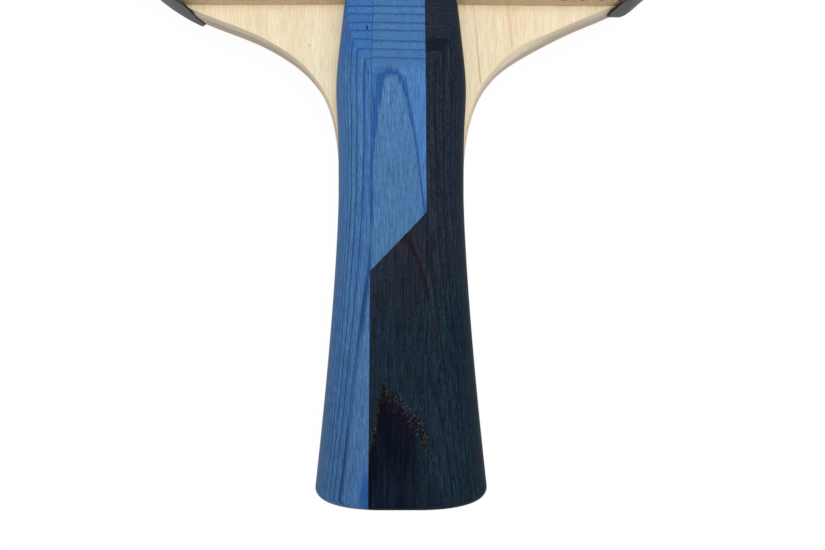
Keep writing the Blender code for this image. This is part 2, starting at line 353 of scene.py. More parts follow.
def handle_top(x, y):
    """Flat crest with an elliptical shoulder each side, cut by a plane slope near the head.

    The crease between the two is the softened lesser of their heights: half their sum less half the
    root of their squared difference plus a small squared radius.
    """
    half = handle_half_width(y)
    flat = flat_half(y)
    across = np.clip((np.abs(x) - flat) / (half - flat), 0, 1)
    side = BLADE_FACE + SIDE_LAND
    shoulder = side + (handle_crest(y) - side) * np.sqrt(1 - across**2)
    rise = (NECK_DEPTH - RAMP_END_DEPTH) / 2
    slope = RAMP_END_DEPTH / 2 + rise * (HANDLE_LENGTH - y) / RAMP_LENGTH
    soft = (shoulder + slope - np.sqrt((shoulder - slope) ** 2 + CREASE_ROUND**2)) / 2
    height = np.where(slope - shoulder > CREASE_REACH, shoulder, soft)
    return np.maximum(height, BLADE_FACE + 2 * GLUE_LINE)


def seam(side, y):
    """Sideways place of the seam between the middle stave and the stave on that side, -1 or 1."""
    wide = MIDDLE_BUTT_WIDTH + (MIDDLE_TOP_WIDTH - MIDDLE_BUTT_WIDTH) * y / HANDLE_LENGTH
    return MIDDLE_OFFSET + side * wide / 2


def splice(x):
    """Height of the slanted splice at a sideways place."""
    return SPLICE_HEIGHT + (x - MIDDLE_OFFSET) * math.tan(SPLICE_ANGLE)


def edge_drop(distance):
    """Quarter circle that eases a stave's edge down as it nears its seam."""
    short = SEAM_ROUND - np.clip(distance, 0, SEAM_ROUND)
    return SEAM_ROUND - np.sqrt(SEAM_ROUND**2 - short**2)


def veneer_layer(x, z, lines):
    """Counts the veneers of a stave upwards; whole numbers are its glue lines.

    The count is the sum, over all veneers, of the share of each that lies below the point. The veneers
    lean a little from left to right.
    """
    lines = np.append(np.arange(LOWEST_LINE, lines[0] - VENEER / 2, VENEER), lines)
    height = (np.abs(z) - LINE_LEAN * x)[..., None] / MM
    share = (height - lines[:-1]) / np.diff(lines)
    return np.clip(share, 0, 1).sum(-1)


def arch_distance(x, y):
    """Distance outside an arch of growth rings, as a share of the dark band on it; less than 0 inside.

    The arch leans to the right as it comes down, and its half width grows as a power of the drop below
    the apex. Above the apex the distance is measured to it. The band is broad there and narrows down
    the legs.
    """
    drop = ARCH_APEX - y / MM
    below = np.maximum(drop, 0)
    aside = x / MM - ARCH_MIDDLE - ARCH_LEAN * below
    beside = np.abs(aside) - ARCH_SPREAD * below**ARCH_POWER
    over = np.hypot(np.maximum(beside, 0), ARCH_CAP * drop)
    outside = np.where(drop < 0, over, np.maximum(beside, -drop))
    band = ARCH_BAND + ARCH_APEX_BAND * np.exp(-below / ARCH_BAND_REACH)
    return outside / (band * (1 - ARCH_UNEVEN * np.tanh(aside)))


def place_piece(name, points, faces, finish, node, fields=None):
    """Puts vertices and faces into a new piece on the paddle, which stands for a node if one is named."""
    data = bpy.data.meshes.new(name)
    data.vertices.add(len(points))
    data.vertices.foreach_set("co", np.ascontiguousarray(points, dtype=np.float32).ravel())
    corners = np.concatenate([group.ravel() for group in faces])
    counts = np.concatenate([np.full(len(group), group.shape[1]) for group in faces])
    data.loops.add(len(corners))
    data.loops.foreach_set("vertex_index", corners.astype(np.int32))
    data.polygons.add(len(counts))
    data.polygons.foreach_set("loop_start", (np.cumsum(counts) - counts).astype(np.int32))
    data.update(calc_edges=True)
    data.validate()
    for field, values in (fields or {}).items():
        data.attributes.new(field, "FLOAT", "POINT").data.foreach_set("value", values.astype(np.float32))
    data.shade_smooth()
    data.set_sharp_from_angle(angle=SHARP_ANGLE)
    data.materials.append(finish)
    piece = bpy.data.objects.new(name, data)
    bpy.context.scene.collection.objects.link(piece)
    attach(piece, "root")
    if node:
        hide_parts(node)


def quads(grid):
    """Quads between the neighbouring points of a grid of point numbers."""
    corners = (grid[:-1, :-1], grid[:-1, 1:], grid[1:, 1:], grid[1:, :-1])
    return np.stack([corner.ravel() for corner in corners], axis=1)


def place_block(name, lattice, finish, node, fields=None):
    """A closed piece from the six sides of a lattice of rows along Y, columns along X and levels along Z.

    Points inside the lattice are dropped, and every side's quads are turned outwards.
    """
    index = np.arange(lattice[..., 0].size).reshape(lattice.shape[:3])
    top, bottom = quads(index[:, :, -1]), quads(index[:, :, 0])[:, ::-1]
    right, left = quads(index[:, -1, :])[:, ::-1], quads(index[:, 0, :])
    head, butt = quads(index[-1]), quads(index[0])[:, ::-1]
    used, faces = np.unique(np.vstack([top, bottom, right, left, head, butt]), return_inverse=True)
    points = lattice.reshape(-1, 3)[used]
    fields = {field: values.reshape(-1)[used] for field, values in (fields or {}).items()}
    place_piece(name, points, [faces.reshape(-1, 4)], finish, node, fields)


def rim_rows(count):
    """Heights over the rounded rim, closer toward the butt as the cosine of even angles."""
    return RIM_LENGTH * (1 - np.cos(np.linspace(0, math.pi / 2, count)))


def handle_rows():
    """Heights of the handle's sections: close over the rim and the slope's crease, even elsewhere."""
    low = HANDLE_LENGTH - RAMP_LENGTH - CREASE_BELOW
    high = HANDLE_LENGTH - RAMP_LENGTH + CREASE_ABOVE
    body = np.linspace(RIM_LENGTH, low, BODY_ROWS)
    crease = np.linspace(low, high, CREASE_ROWS)
    slope = np.linspace(high, HANDLE_LENGTH - RUBBER_CLEARANCE, SLOPE_ROWS)
    return np.concatenate([rim_rows(RIM_ROWS), body[1:], crease[1:], slope[1:]])


def stave_lattice(x, y, top, front):
    """Levels from the blade's face to a stave's skin; a back stave is turned round the handle's axis."""
    level = np.linspace(0, 1, STAVE_LEVELS)
    low = BLADE_FACE + GLUE_LINE
    z = low + (top[..., None] - low) * level
    x = np.repeat(x[..., None], len(level), axis=2)
    y = np.repeat(y[..., None], len(level), axis=2)
    turn = 1 if front else -1
    return x, y, z, np.stack([turn * x, y, turn * z], axis=-1)


def side_stave(side):
    """Skin of a full-length side stave: columns closer and closer toward the side, close at the seam."""
    y = handle_rows()[:, None]
    half = handle_half_width(y)
    inner = np.abs(seam(side, y)) + GLUE_LINE / 2
    start = inner + SEAM_ROUND
    turn = np.sin(np.linspace(0, math.pi / 2, SIDE_COLUMNS))
    x = np.hstack([inner + SEAM_STEPS[:-1], start + (half - start) * turn])
    y = np.broadcast_to(y, x.shape)
    top = handle_top(x, y) - edge_drop(x - inner)
    if side < 0:
        return -x[:, ::-1], y[:, ::-1], top[:, ::-1]
    return x, y, top


def middle_stave(upper):
    """One length of the middle stave's skin: rows fan from the slanted splice until they run straight."""
    gap = GLUE_LINE / 2
    lean = math.cos(SPLICE_ANGLE)
    steps = SEAM_STEPS / MIDDLE_TOP_WIDTH
    share = np.linspace(steps[-1], 1 - steps[-1], MIDDLE_COLUMNS)
    share = np.concatenate([steps[:-1], share, 1 - steps[-2::-1]])
    ends = [seam(side, splice(seam(side, SPLICE_HEIGHT))) for side in (-1, 1)]
    joint = splice(ends[0] + (ends[1] - ends[0]) * share)
    close = (SEAM_STEPS[:, None] + gap) / lean
    way = 1 if upper else -1
    level = (joint.max() if upper else joint.min()) + way * SPLICE_FAN
    start = joint + way * close
    spread = start[-1] + (level - start[-1]) * np.linspace(0, 1, FAN_ROWS)[1:, None]
    rows = handle_rows()
    straight = rows[way * (rows - level) > RUBBER_CLEARANCE]
    straight = np.repeat(straight[:, None], len(share), axis=1)
    y = np.vstack([start, spread, straight] if upper else [straight, spread[::-1], start[::-1]])
    left, right = seam(-1, y) + gap, seam(1, y) - gap
    x = left + (right - left) * share
    from_splice = np.abs(y - joint) * lean - gap
    ease = np.maximum(np.maximum(edge_drop(x - left), edge_drop(right - x)), edge_drop(from_splice))
    return x, y, handle_top(x, y) - ease


def crest_layer(x, z, lines):
    """Veneer count of a middle stave: the slope's own lines, held within one veneer on the crest."""
    count = veneer_layer(x, z, lines)
    return count + (CREST_COUNT - count) * smooth_step(z, *CREST_RISE)


def char_depth(x, y, lot):
    """Distance in mm below the ragged upper edge of a dark resin patch, less than 0 above it."""
    edge = np.interp(x / MM if lot == 0 else -x / MM, CHAR_ACROSS, CHAR_HEIGHT)
    return edge - CHAR_BACK_DROP * lot - y / MM


def char_fade(x, y, lot):
    """How far the resin has thinned, 0 to 1 from left to right, but for one band where it stays dark."""
    x = x / MM if lot == 0 else -x / MM
    band = bell(x, CHAR_BAND, CHAR_BAND_REACH)
    band = band * smooth_step(-y / MM, -CHAR_BAND_TOP, CHAR_BAND_RUN - CHAR_BAND_TOP)
    return smooth_step(x, *CHAR_FADE) * (1 - band)


def streak_distance(x, y, lot):
    """Distance from a dark growth line that runs down from the splice, as a share of its width there."""
    y = y / MM + STREAK_BACK_DROP * lot
    middle = np.interp(y, STREAK_HEIGHT, STREAK_ACROSS)
    width = np.interp(y, STREAK_HEIGHT, STREAK_WIDTH)
    beyond = np.maximum(STREAK_HEIGHT[0] - y, 0) + np.maximum(y - STREAK_HEIGHT[-1], 0)
    return np.abs(x / MM - middle) / width + STREAK_END * beyond


def add_handle_half(front, blue_wood, dark_wood):
    """The four staves of one handle half, each with its veneer count and its figure as fields.

    The field "steep" grows evenly across the shoulder, and thins the glue lines where the skin lies flat.
    """
    face = "front" if front else "back"
    lot = 0 if front else 1
    shapes = (
        ("blue_stave", "blue_side_strip", side_stave(-1), blue_wood, "dyed_blue_wood"),
        ("middle_stave_upper", "blue_middle_strip", middle_stave(True), blue_wood, "dyed_blue_wood"),
        ("middle_stave_lower", "dark_middle_strip", middle_stave(False), dark_wood, "dyed_black_wood"),
        ("dark_stave", "dark_side_strip", side_stave(1), dark_wood, "dyed_black_wood"),
    )
    for node, name, skin, finish, slot in shapes:
        x, y, z, lattice = stave_lattice(*skin, front)
        far = np.full(x.shape, FAR)
        lines = SIDE_LINES if finish is blue_wood else DARK_LINES
        fields = {"layer": veneer_layer(x, z, lines)}
        if node == "middle_stave_upper":
            fields["layer"] = crest_layer(x, z, MIDDLE_LINES)
            aside = x if front else -x - ARCH_BACK_SHIFT * MM
            arch = arch_distance(aside, y + lot * ARCH_BACK_DROP * MM)
            fields["arch"] = np.where(z > ARCH_LOWEST * MM, arch, far)
            fields["rich"] = RICH_MIDDLE * smooth_step(y, *SLOPE_RUN)
            fields["steep"] = np.ones(x.shape)
        elif finish is blue_wood:
            fields["arch"] = far
            flat = flat_half(y)
            steep = STEEP_GAIN * (np.abs(x) - flat) / (handle_half_width(y) - flat)
            fields["steep"] = np.maximum(np.clip(steep, STEEP_LEAST, 1), smooth_step(y, *SLOPE_RUN))
            crest = RICH_CREST * smooth_step(z, *RICH_CREST_RISE) * smooth_step(y, *RICH_CREST_RUN)
            slope = smooth_step(y, *RICH_SLOPE_RUN)
            fields["rich"] = np.maximum(np.maximum(slope, crest), RICH_LEAST)
        else:
            fields["char"] = -far
            if node == "middle_stave_lower":
                fields["layer"] = crest_layer(x, z, DARK_LINES)
                fields["char"] = char_depth(x, y, lot)
            fields["fade"] = char_fade(x, y, lot)
            fields["streak"] = streak_distance(x, y, lot)
        place_block(f"{face}_{name}", lattice, finish, f"{face}_{node}", fields)


def cubic(points, steps):
    """Points along a cubic curve, from its four control points."""
    t = np.linspace(0, 1, steps + 1)[:, None]
    a, b, c, d = (np.array(point) for point in points)
    return (1 - t) ** 3 * a + 3 * (1 - t) ** 2 * t * b + 3 * (1 - t) * t**2 * c + t**3 * d


def wing_turn():
    """Where the hollow of a wing turns into the round of the head, and the outline's direction there."""
    point = np.array((WING_TURN_WIDTH / 2, HANDLE_LENGTH - WING_TURN_DROP))
    heading = np.array((math.cos(WING_TURN_ANGLE), math.sin(WING_TURN_ANGLE)))
    return point, heading


def head_half():
    """Right half of the head: one cubic from the wing's turn to the widest place, one on to the tip."""
    point, heading = wing_turn()
    widest = np.array((HEAD_WIDTH / 2, WIDEST_HEIGHT))
    tip = np.array((0, TIP_HEIGHT))
    down = np.array((0, WIDEST_PULL))
    up = np.array((0, QUARTER_PULL * (TIP_HEIGHT - WIDEST_HEIGHT)))
    out = np.array((QUARTER_PULL * HEAD_WIDTH / 2, 0))
    lower = cubic((point, point + heading * SHOULDER_PULL, widest - down, widest), SHOULDER_STEPS)
    top = cubic((widest, widest + up, tip + out, tip), TIP_STEPS)
    half = np.vstack([lower, top[1:]])
    half[-1, 0] = TIP_HALF
    return half


def blade_half():
    """Right half of the blade: a tang flush with the handle, a cubic for the wing, then the head."""
    point, heading = wing_turn()
    straight = np.linspace(RIM_LENGTH, HANDLE_LENGTH - WING_ROOT_DROP, TANG_ROWS)
    y = np.concatenate([rim_rows(TANG_RIM_ROWS), straight[1:]])
    tang = np.column_stack([handle_half_width(y), y])
    root, up = tang[-1], np.array((0, WING_ROOT_PULL))
    wing = cubic((root, root + up, point - heading * WING_TURN_PULL, point), WING_STEPS)
    return np.vstack([tang, wing[1:], head_half()[1:]])


def outward(path):
    """Unit directions to the right of a path, square to its own direction."""
    along = np.gradient(path, axis=0)
    along /= np.linalg.norm(along, axis=1)[:, None]
    return np.column_stack([along[:, 1], -along[:, 0]])


def above(half, height):
    """The stretch of a half outline above a level, starting exactly on that level."""
    start = np.interp(height, half[:, 1], half[:, 0])
    return np.vstack([(start, height), half[half[:, 1] > height + RUBBER_CLEARANCE]])


def sheet_lattice(half, z, inset_left, inset_right, columns):
    """A flat sheet: rows along a half outline, columns from its left copy to its right, levels at z.

    Each level's outline is drawn in square to itself by the given insets, one per row and level.
    """
    normal = outward(half)
    right_x = half[:, 0, None] - inset_right * normal[:, 0, None]
    left_x = -half[:, 0, None] + inset_left * normal[:, 0, None]
    right_y = half[:, 1, None] - inset_right * normal[:, 1, None]
    left_y = half[:, 1, None] - inset_left * normal[:, 1, None]
    share = np.linspace(0, 1, columns)[None, :, None]
    x = left_x[:, None, :] + (right_x - left_x)[:, None, :] * share
    y = left_y[:, None, :] + (right_y - left_y)[:, None, :] * share
    level = np.broadcast_to(z, x.shape)
    return np.stack([x, y, level], axis=-1)


def add_blade(pale_wood, core_wood):
    """Five plies from butt to tip, their edges sanded round along the wings.

    Both edges are drawn in by a width times a power of the nearness to the face, which fades into handle
    and head; bells of a swell fill out the wings. The field "edge" is 0 on a face and 1 just below it.
    """
    half = blade_half()
    y = half[:, 1, None]
    wing = smooth_step(y, *BEVEL_RUN_IN)
    head = smooth_step(y, *BEVEL_RUN_OUT)
    left = wing * (BEVEL_LEFT + (BEVEL_HEAD - BEVEL_LEFT) * head)
    wide = BEVEL_RIGHT * (BEVEL_EVEN + BEVEL_WIDER * bell(y, BEVEL_WIDER_HEIGHT, BEVEL_WIDER_REACH))
    right = wing * (wide + (BEVEL_HEAD - wide) * head)
    fill = [size * bell(y, height, reach) for size, height, reach in WING_SWELLS]
    core_top = CORE_PLY / 2 + GLUE_LINE / 2
    inner_top = CORE_PLY / 2 + GLUE_LINE + INNER_PLY + GLUE_LINE / 2
    core = np.array((-core_top + HIDDEN_GAP, 0, core_top - HIDDEN_GAP))
    inner = np.linspace(core_top, inner_top - HIDDEN_GAP, INNER_LEVELS)
    outer = BLADE_FACE - (BLADE_FACE - inner_top) * OUTER_LEVELS
    plies = (
        ("core_veneer_sheet", "core_ply", core, core_wood, "core_veneer"),
        ("front_cross_veneer", "front_inner_ply", inner, core_wood, "core_veneer"),
        ("back_cross_veneer", "back_inner_ply", -inner[::-1], core_wood, "core_veneer"),
        ("front_face_veneer", "front_outer_ply", outer, pale_wood, "pale_veneer"),
        ("back_face_veneer", "back_outer_ply", -outer[::-1], pale_wood, "pale_veneer"),
    )
    for name, node, z, finish, slot in plies:
        depth = BLADE_FACE - np.abs(z)
        share = np.clip(1 - depth / BEVEL_DEPTH, 0, 1) ** BEVEL_POWER
        inset_right = right * share - fill[1] - fill[2]
        lattice = sheet_lattice(half, z, left * share - fill[0], inset_right, PLY_COLUMNS)
        edge = np.broadcast_to(smooth_step(depth, 0, BEVEL_LINE), lattice.shape[:3])
        place_block(name, lattice, finish, node, {"edge": edge})


def lean_cut(lattice, cut):
    """Moves a rubber's lower edge to its cut, leans it back, dips its right part and waves it a little.

    All of it fades up the head as an exponential.
    """
    x, y, z = lattice[..., 0], lattice[..., 1], lattice[..., 2]
    near = np.exp(-(y - HANDLE_LENGTH) / CUT_REACH)
    across = np.sin(x / MM * CUT_WAVE_ACROSS)
    wave = CUT_WAVE * across * np.sin(z / MM * CUT_WAVE_DEEP + CUT_WAVE_START)
    dip = CUT_DIP * smooth_step(x, CUT_DIP_START, CUT_DIP_END)
    lean = CUT_LEAN * (z - BLADE_FACE)
    y += near * (cut - HANDLE_LENGTH + lean - dip + wave)
    return lattice


def pips(low, high, cut, outline):
    """Short tapered pegs under a rubber's skin, on a lattice of offset rows beside the open cut."""
    row = np.arange(PIP_ROWS)[:, None]
    column = np.arange(*PIP_COLUMNS)[None, :]
    x = (PIP_START + PIP_SPACING * (column + 0.5 * (row % 2))).ravel()
    y = (cut + PIP_SETBACK + PIP_ROW * row + 0 * column).ravel()
    y = y + PIP_STEP * (1 - np.exp(-np.maximum(PIP_START - x, 0) / PIP_SPACING))
    reach = np.interp(y, outline[:, 1], outline[:, 0]) - PIP_BORDER
    x, y = x[np.abs(x) < reach], y[np.abs(x) < reach]
    angle = 2 * math.pi * np.arange(PIP_SIDES) / PIP_SIDES
    radius = np.array((PIP_RADIUS, PIP_FOOT))[:, None]
    ring_x = x[:, None, None] + radius * np.cos(angle)
    ring_y = y[:, None, None] + radius * np.sin(angle)
    ring_z = np.broadcast_to(np.array((low, high))[:, None], ring_x.shape)
    points = np.stack([ring_x, ring_y, ring_z], axis=-1).reshape(-1, 3)
    base = 2 * PIP_SIDES * np.arange(len(x))[:, None]
    here = np.arange(PIP_SIDES)
    after = (here + 1) % PIP_SIDES
    walls = np.stack([here, after, after + PIP_SIDES, here + PIP_SIDES], axis=1)
    walls = (base[:, :, None] + walls).reshape(-1, 4)
    return points, [walls, base + here[::-1], base + here + PIP_SIDES]


def add_rubbers(foam, red, black):
    """On each face a sponge, a smooth skin and, beside the open cut, the pips that the skin stands on."""
    outline = above(head_half(), HANDLE_LENGTH)
    low = BLADE_FACE + GLUE_LINE
    peg = low + SPONGE + GLUE_LINE
    top = peg + TOPSHEET
    rows = len(outline)
    foam_z = np.linspace(low, low + SPONGE, FOAM_LEVELS)
    turned = top - SKIN_ROUND * (1 - np.sin(SKIN_TURNS))
    skin_z = np.concatenate([[top - SKIN, top - SKIN_ROUND], turned, [top]])
    rounding = np.clip((skin_z - top + SKIN_ROUND) / SKIN_ROUND, 0, 1)
    rounding = np.repeat(SKIN_ROUND * (1 - np.sqrt(1 - rounding**2))[None, :], rows, axis=0)
    none = np.zeros((rows, len(foam_z)))
    sheets = (("front", FRONT_CUT, red, "red_rubber"), ("back", BACK_CUT, black, "black_rubber"))
    for face, cut, finish, slot in sheets:
        turn = np.array((1, 1, 1)) if face == "front" else np.array((-1, 1, -1))
        sponge = lean_cut(sheet_lattice(outline, foam_z, none, none, FOAM_COLUMNS), cut) * turn
        place_block(f"{face}_foam_sheet", sponge, foam, f"{face}_sponge")
        skin = lean_cut(sheet_lattice(outline, skin_z, rounding, rounding, SKIN_COLUMNS), cut) * turn
        place_block(f"{face}_rubber_skin", skin, finish, f"{face}_topsheet")
        points, faces = pips(peg, top - SKIN, cut, outline)
        place_piece(f"{face}_rubber_pips", points * turn, faces, finish, None)


def tape_cut(z, snips):
    """How far a tape end is cut back at each height: straight snips between a few listed places."""
    height, back = np.array(snips).T * MM
    return np.interp(z, height, back)


def add_edge_tape(film):
    """One strip round the head's edge: rows along it, two columns through it, levels across it.

    Each end is cut by hand, which trims its back corner away, and a bell lifts the strip near the right
    end. The field "end" is 1 at either cut and 0 a little way in; the finish paints a shadow line there.
    """
    right = above(head_half(), HANDLE_LENGTH - TAPE_DROP)
    path = np.vstack([right, right[::-1] * np.array((-1, 1))])
    normal = outward(path)
    run = np.concatenate([[0], np.cumsum(np.linalg.norm(np.diff(path, axis=0), axis=1))])
    back = np.linspace(TAPE_BACK, TAPE_MIDDLE, TAPE_BACK_LEVELS)
    z = np.concatenate([back, np.linspace(TAPE_MIDDLE, TAPE_FRONT, TAPE_FRONT_LEVELS)[1:]])
    first = tape_cut(z, TAPE_RIGHT_SNIPS)
    last = tape_cut(z, TAPE_LEFT_SNIPS)
    close = TAPE_END_SHARE * np.linspace(0, 1, TAPE_END_ROWS)
    even = np.linspace(TAPE_END_SHARE, 1 - TAPE_END_SHARE, TAPE_ROWS)[1:-1]
    share = np.concatenate([close, even, 1 - TAPE_END_SHARE + close])
    along = first + (run[-1] - first - last) * share[:, None]
    place = np.stack([np.interp(along, run, path[:, axis]) for axis in (0, 1)], axis=-1)
    aside = np.stack([np.interp(along, run, normal[:, axis]) for axis in (0, 1)], axis=-1)
    border = np.minimum(z - TAPE_BACK, TAPE_FRONT - z)
    edge = TAPE_EDGE_DROP * smooth_step(-border, -TAPE_EDGE_REACH, 0)[None, :, None]
    lift = TAPE_LIFT * bell(along, TAPE_LIFT_PLACE, TAPE_LIFT_REACH)[..., None]
    sides = []
    for offset in (EDGE_CLEARANCE, EDGE_CLEARANCE + TAPE_THICKNESS):
        flat = place + aside * (offset + lift - edge * (offset > EDGE_CLEARANCE))
        sides.append(np.dstack([flat, np.broadcast_to(z, along.shape)]))
    left = np.minimum(along - first, run[-1] - last - along)
    end = np.repeat(smooth_step(-left, -TAPE_END_SHADOW, 0)[:, None, :], 2, axis=1)
    place_block("grey_edge_strip", np.stack(sides, axis=1), film, "edge_tape", {"end": end})


def dye(red, green, blue):
    """A colour written in screen steps of 0 to 255, as linear light."""
    step = np.array((red, green, blue)) / 255
    linear = np.where(step <= 0.04045, step / 12.92, ((step + 0.055) / 1.055) ** 2.4)
    return (*(float(part) for part in linear), 1.0)


def feed(tree, socket, value):
    """Links an output to a socket, or sets the socket to a constant."""
    if isinstance(value, bpy.types.NodeSocket):
        tree.links.new(value, socket)
    else:
        socket.default_value = value


def add_node(tree, kind, inputs, **settings):
    """Adds a node with its settings and its inputs, named or numbered."""
    made = tree.nodes.new(kind)
    for key, value in settings.items():
        setattr(made, key, value)
    for key, value in inputs.items():
        feed(tree, made.inputs[key], value)
    return made


class Finish:
    """Wires one node material: every call adds a node and hands back its output."""

    def __init__(self, name, specular, sheen=0.0):
        self.material = bpy.data.materials.new(name)
        self.material.use_nodes = True
        self.tree = self.material.node_tree
        self.shader = self.tree.nodes["Principled BSDF"]
        self.shader.inputs["Specular IOR Level"].default_value = specular
        self.shader.inputs["Sheen Weight"].default_value = sheen
        self.shader.inputs["Sheen Roughness"].default_value = SHEEN_ROUGHNESS
        self.where = self.node("ShaderNodeTexCoord", {}).outputs["Object"]
        self.axes = self.node("ShaderNodeSeparateXYZ", {"Vector": self.where})

    def node(self, kind, inputs, **settings):
        """A new node of this material."""
        return add_node(self.tree, kind, inputs, **settings)

    def math(self, operation, *values, clamp=False):
        """Arithmetic on one to three numbers."""
        inputs = dict(enumerate(values))
        return self.node("ShaderNodeMath", inputs, operation=operation, use_clamp=clamp).outputs[0]

    def field(self, name):
        """A number that the piece's mesh carries at every point."""
        return self.node("ShaderNodeAttribute", {}, attribute_name=name).outputs["Fac"]

    def axis(self, name):
        """One object coordinate, X, Y or Z."""
        return self.axes.outputs[name]

    def spot(self, middle, reach):
        """Distance from a point, as a share of a reach along each axis."""
        scale = tuple(1 / part for part in reach)
        shift = tuple(-place / part for place, part in zip(middle, reach))
        moved = self.node("ShaderNodeMapping", {"Vector": self.where, "Location": shift, "Scale": scale})
        far = self.node("ShaderNodeVectorMath", {0: moved.outputs[0]}, operation="LENGTH")
        return far.outputs["Value"]

    def spread(self, scale, shift):
        """Object coordinates stretched by a scale per metre and moved by a shift."""
        moved = tuple(shift * part for part in NOISE_SHIFT)
        inputs = {"Vector": self.where, "Scale": scale, "Location": moved}
        return self.node("ShaderNodeMapping", inputs).outputs[0]

    def noise(self, scale, shift, detail, rough=0.5):
        """Cloud noise on stretched coordinates, from 0 to 1 about 0.5."""
        inputs = {"Vector": self.spread(scale, shift), "Scale": 1.0, "Detail": detail, "Roughness": rough}
        return self.node("ShaderNodeTexNoise", inputs).outputs["Fac"]

    def cells(self, scale, shift):
        """Distance to the nearest of scattered points on stretched coordinates."""
        inputs = {"Vector": self.spread(scale, shift), "Scale": 1.0}
        return self.node("ShaderNodeTexVoronoi", inputs).outputs["Distance"]

    def map(self, value, low, high, to_low=0.0, to_high=1.0, smooth=True):
        """A number carried from one range to another, held at both ends."""
        inputs = {"Value": value, "From Min": low, "From Max": high, "To Min": to_low, "To Max": to_high}
        kind = "SMOOTHSTEP" if smooth else "LINEAR"
        return self.node("ShaderNodeMapRange", inputs, interpolation_type=kind).outputs["Result"]

    def between(self, share, first, second):
        """Passes from a first number to a second along a share from 0 to 1."""
        return self.map(share, 0.0, 1.0, first, second)

    def ramp(self, value, stops):
        """A colour read from stops along a number."""
        made = self.node("ShaderNodeValToRGB", {"Fac": value})
        elements = made.color_ramp.elements
        while len(elements) < len(stops):
            elements.new(0.5)
        for element, (position, color) in zip(elements, stops):
            element.position = position
            element.color = color
        return made.outputs["Color"]

    def pick(self, number):
        """A chance value from 0 to 1 that belongs to a whole number."""
        made = self.node("ShaderNodeTexWhiteNoise", {"W": number}, noise_dimensions="1D")
        return made.outputs["Value"]

    def mix(self, share, first, second):
        """Passes from a first colour to a second."""
        return self.node("ShaderNodeMix", {0: share, 6: first, 7: second}, data_type="RGBA").outputs[2]

    def tint(self, color, factor):
        """A colour made lighter or darker by a factor."""
        plain = color[:3] if isinstance(color, tuple) else color
        made = self.node("ShaderNodeVectorMath", {0: plain, "Scale": factor}, operation="SCALE")
        return made.outputs[0]

    def around(self, value, strength):
        """A factor about 1 from a noise about 0.5."""
        return self.math("MULTIPLY_ADD", value, strength, 1 - strength / 2)

    def centred(self, value, strength):
        """A swing about 0 from a noise about 0.5."""
        return self.math("MULTIPLY_ADD", value, strength, -strength / 2)

    def swing(self, value, strength):
        """A factor about 1 from a noise about 0.5, with a strength that may vary from place to place."""
        return self.math("MULTIPLY_ADD", self.math("SUBTRACT", value, 0.5), strength, 1.0)

    def times(self, *values):
        """The product of several numbers."""
        product = values[0]
        for value in values[1:]:
            product = self.math("MULTIPLY", product, value)
        return product

    def plus(self, first, second):
        """The sum of two numbers."""
        return self.math("ADD", first, second)

    def done(self, color, roughness, height, strength, distance):
        """Joins colour, roughness and relief to the shader."""
        bump = self.node("ShaderNodeBump", {"Height": height, "Strength": strength, "Distance": distance})
        joined = {"Base Color": color, "Roughness": roughness, "Normal": bump.outputs["Normal"]}
        for name, value in joined.items():
            feed(self.tree, self.shader.inputs[name], value)
        return self.material


def on_slope(wood):
    """1 on the plane slope near the head and 0 below it, from the height of that plane."""
    fall = (NECK_DEPTH - RAMP_END_DEPTH) / 2 / RAMP_LENGTH
    plane = wood.math("MULTIPLY_ADD", wood.axis("Y"), -fall, RAMP_END_DEPTH / 2 + fall * HANDLE_LENGTH)
    under = wood.math("SUBTRACT", plane, wood.math("ABSOLUTE", wood.axis("Z")))
    return wood.map(under, *SLOPE_EDGE)


